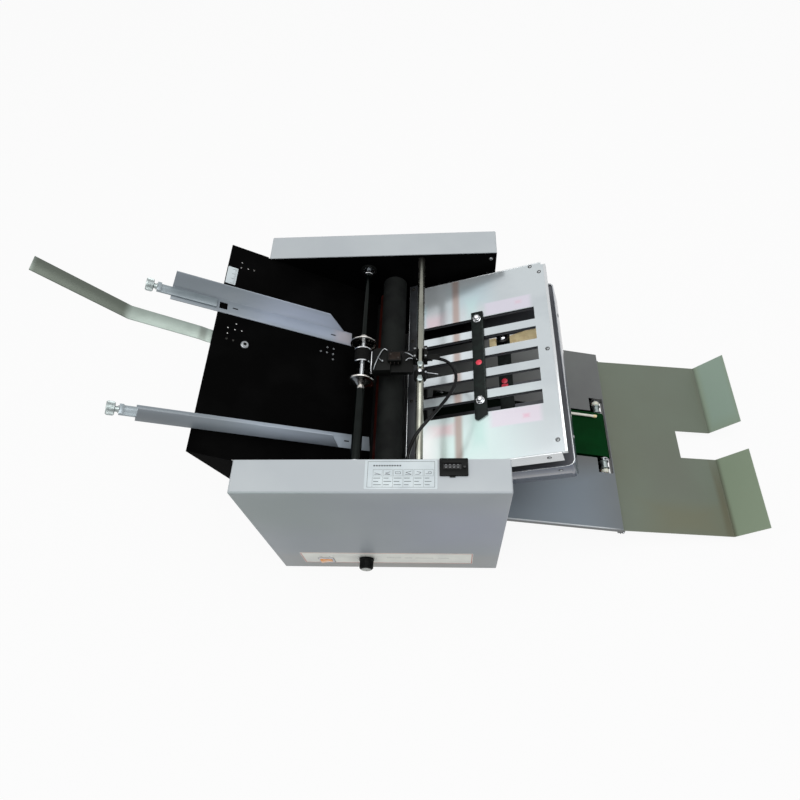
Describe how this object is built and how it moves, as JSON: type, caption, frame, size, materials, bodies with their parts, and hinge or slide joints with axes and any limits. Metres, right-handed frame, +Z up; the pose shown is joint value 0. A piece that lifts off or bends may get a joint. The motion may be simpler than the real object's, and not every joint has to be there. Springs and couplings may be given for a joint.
{
  "type": "paper folding machine",
  "caption": "Desk paper folder: sloped infeed table with side guides, feed wheel, fold rollers, slotted buckle plates with stops, belt delivery and a hinged tray between two side boxes",
  "frame": {"origin": "centre of the base pan's underside, midway between the side boxes and midway along them; the rubber feet reach 12 mm lower", "axes": "+X the way the paper travels, from the infeed table to the delivery tray; +Y across the machine to the back, from the control side to the power inlet side; +Z up"},
  "size_m": [1.1368, 0.519, 0.584],
  "materials": {
    "cover_paint": "satin powder coat",
    "black_paint": "satin powder coat",
    "zinc_steel": "zinc plated",
    "guide_paint": "satin paint",
    "tray_paint": "satin paint",
    "strip_steel": "brushed",
    "white_paint": "satin paint",
    "plate_silver": "fine brushed",
    "delivery_paint": "satin enamel",
    "slate_paint": "satin paint",
    "black_plastic": "moulded",
    "bright_steel": "ground",
    "chrome": "polished",
    "dark_rubber": "ground",
    "red_rubber": "ground",
    "green_belt": "woven face",
    "orange_plastic": "gloss",
    "board_green": "solder mask",
    "cable_sheath": "smooth",
    "motor_paint": "painted"
  },
  "bodies": {
    "machine_base": {"base_pan": "zinc_steel", "rubber_feet": "dark_rubber", "front_side_plate": "black_paint", "back_side_plate": "black_paint", "front_cover": "cover_paint", "back_cover": "cover_paint", "screws": "bright_steel", "rods_and_pegs": "bright_steel", "cross_bar": "chrome", "infeed_table": "black_paint", "strip_bolt": "chrome", "separator_block": "black_plastic", "sensor_bracket": "black_plastic", "sensor_cable": "cable_sheath", "bearings": "bright_steel", "upper_plate_top": "plate_silver", "upper_plate_bottom": "plate_silver", "upper_plate_rails": "white_paint", "mouth_bar": "black_paint", "second_plate_frame": "slate_paint", "second_plate_sheets": "slate_paint", "left_fold_plates": "plate_silver", "delivery_table": "delivery_paint", "hold_down_rod": "white_paint", "motor": "motor_paint", "control_board": "board_green", "switch_bezel": "black_plastic", "counter": "black_plastic", "power_inlet": "black_plastic", "drive_belts": "dark_rubber", "delivery_belt": "green_belt"},
    "strip": {"support_strip": "strip_steel"},
    "guide_back": {"back_guide": "guide_paint"},
    "guide_front": {"front_guide": "guide_paint"},
    "bar_back": {"back_guide_bar": "guide_paint"},
    "bar_front": {"front_guide_bar": "guide_paint"},
    "thumb_back": {"back_thumb_screw": "chrome"},
    "thumb_front": {"front_thumb_screw": "chrome"},
    "feed_roll": {"feed_shaft": "bright_steel", "shaft_sleeves": "bright_steel", "feed_discs": "chrome", "feed_wheel": "dark_rubber"},
    "roll_main": {"main_roller": "dark_rubber"},
    "roll_red": {"red_roller": "red_rubber"},
    "roll_1": {"fold_roller_1": "dark_rubber"},
    "roll_2": {"fold_roller_2": "dark_rubber"},
    "roll_3": {"fold_roller_3": "dark_rubber"},
    "roll_4": {"fold_roller_4": "dark_rubber"},
    "motor_turn": {"motor_pulley": "bright_steel"},
    "belt_drive": {"belt_drive_roller": "bright_steel"},
    "belt_idle": {"belt_idle_roller": "bright_steel"},
    "pad": {"separator_pad": "dark_rubber"},
    "feeler": {"paper_feeler": "bright_steel"},
    "stop_upper": {"upper_stop_bar": "black_plastic", "upper_stop_nuts": "chrome"},
    "stop_lower": {"lower_stop_bar": "black_plastic"},
    "tray": {"delivery_tray": "tray_paint"},
    "rocker": {"switch_rocker": "orange_plastic"},
    "knob": {"speed_knob": "black_plastic"},
    "reset": {"counter_button": "bright_steel"}
  },
  "joints": [
    {"name": "strip_swivel", "type": "hinge", "parent": "machine_base", "child": "strip", "pos_m": [-0.21201, 0.003, 0.37357], "axis": [0.5122, 0, 0.8589], "range_deg": [-5, 5]},
    {"name": "back_guide_slide", "type": "slide", "parent": "machine_base", "child": "guide_back", "axis": [0, 1, 0], "range_m": [-0.012, 0.09]},
    {"name": "front_guide_slide", "type": "slide", "parent": "machine_base", "child": "guide_front", "axis": [0, 1, 0], "range_m": [-0.015, 0.06]},
    {"name": "back_bar_slide", "type": "slide", "parent": "guide_back", "child": "bar_back", "axis": [0.8577, 0.0523, -0.5115], "range_m": [-0.02, 0.02]},
    {"name": "front_bar_slide", "type": "slide", "parent": "guide_front", "child": "bar_front", "axis": [0.8533, 0.1132, -0.5089], "range_m": [-0.02, 0.02]},
    {"name": "back_thumb_turn", "type": "hinge", "parent": "bar_back", "child": "thumb_back", "pos_m": [-0.33646, 0.05937, 0.45396], "axis": [0.8577, 0.0523, -0.5115], "continuous": true},
    {"name": "front_thumb_turn", "type": "hinge", "parent": "bar_front", "child": "thumb_front", "pos_m": [-0.33819, -0.16107, 0.45499], "axis": [0.8533, 0.1132, -0.5089], "continuous": true},
    {"name": "main_roller_turn", "type": "hinge", "parent": "machine_base", "child": "roll_main", "pos_m": [0.0196, 0, 0.3], "axis": [0, -1, 0], "continuous": true},
    {"name": "red_roller_turn", "type": "hinge", "parent": "machine_base", "child": "roll_red", "pos_m": [0.01009, 0, 0.25878], "axis": [0, -1, 0], "continuous": true},
    {"name": "fold_roller_1_turn", "type": "hinge", "parent": "machine_base", "child": "roll_1", "pos_m": [-0.0117, 0, 0.22253], "axis": [0, -1, 0], "continuous": true},
    {"name": "fold_roller_2_turn", "type": "hinge", "parent": "machine_base", "child": "roll_2", "pos_m": [0.00067, 0, 0.18207], "axis": [0, -1, 0], "continuous": true},
    {"name": "fold_roller_3_turn", "type": "hinge", "parent": "machine_base", "child": "roll_3", "pos_m": [-0.03398, 0, 0.15781], "axis": [0, -1, 0], "continuous": true},
    {"name": "fold_roller_4_turn", "type": "hinge", "parent": "machine_base", "child": "roll_4", "pos_m": [-0.0303, 0, 0.11567], "axis": [0, -1, 0], "continuous": true},
    {"name": "feed_shaft_turn", "type": "hinge", "parent": "machine_base", "child": "feed_roll", "pos_m": [-0.0265, 0, 0.33], "axis": [0, -1, 0], "continuous": true},
    {"name": "motor_turn", "type": "hinge", "parent": "machine_base", "child": "motor_turn", "pos_m": [-0.105, 0, 0.052], "axis": [0, -1, 0], "continuous": true},
    {"name": "belt_drive_turn", "type": "hinge", "parent": "machine_base", "child": "belt_drive", "pos_m": [0.09713, 0, 0.13615], "axis": [0, -1, 0], "continuous": true},
    {"name": "belt_idle_turn", "type": "hinge", "parent": "machine_base", "child": "belt_idle", "pos_m": [0.41263, 0, 0.04925], "axis": [0, -1, 0], "continuous": true},
    {"name": "separator_pad_slide", "type": "slide", "parent": "machine_base", "child": "pad", "axis": [0.5122, 0, 0.8589], "range_m": [-0.003, 0], "stiffness_N_per_m": 600, "springref_m": 0.003},
    {"name": "feeler_swing", "type": "hinge", "parent": "machine_base", "child": "feeler", "pos_m": [-0.0087, -0.014, 0.3482], "axis": [0, 1, 0], "range_deg": [0, 14], "stiffness_Nm_per_rad": 0.002},
    {"name": "upper_stop_slide", "type": "slide", "parent": "machine_base", "child": "stop_upper", "axis": [0.9563, 0, 0.2924], "range_m": [-0.075, 0.06]},
    {"name": "lower_stop_slide", "type": "slide", "parent": "machine_base", "child": "stop_lower", "axis": [0.9563, 0, 0.2924], "range_m": [-0.09, 0.03]},
    {"name": "tray_lift", "type": "hinge", "parent": "machine_base", "child": "tray", "pos_m": [0.4324, 0, 0.0335], "axis": [0, -1, 0], "range_deg": [0, 95]},
    {"name": "switch_rock", "type": "hinge", "parent": "machine_base", "child": "rocker", "pos_m": [-0.112, -0.2496, 0.045], "axis": [0, 0, -1], "range_deg": [0, 12]},
    {"name": "knob_turn", "type": "hinge", "parent": "machine_base", "child": "knob", "pos_m": [-0.037, -0.248, 0.055], "axis": [0, -1, 0], "range_deg": [0, 280]},
    {"name": "reset_press", "type": "slide", "parent": "machine_base", "child": "reset", "axis": [0, 0, -1], "range_m": [0, 0.001], "stiffness_N_per_m": 200}
  ],
  "couplings": [
    {"joint": "red_roller_turn", "follows": "main_roller_turn", "ratio": -1},
    {"joint": "fold_roller_1_turn", "follows": "main_roller_turn", "ratio": 1},
    {"joint": "fold_roller_2_turn", "follows": "main_roller_turn", "ratio": -1},
    {"joint": "fold_roller_3_turn", "follows": "main_roller_turn", "ratio": 1},
    {"joint": "fold_roller_4_turn", "follows": "main_roller_turn", "ratio": -1},
    {"joint": "feed_shaft_turn", "follows": "main_roller_turn", "ratio": 1},
    {"joint": "motor_turn", "follows": "main_roller_turn", "ratio": 2},
    {"joint": "belt_drive_turn", "follows": "main_roller_turn", "ratio": -1},
    {"joint": "belt_idle_turn", "follows": "main_roller_turn", "ratio": -1}
  ]
}
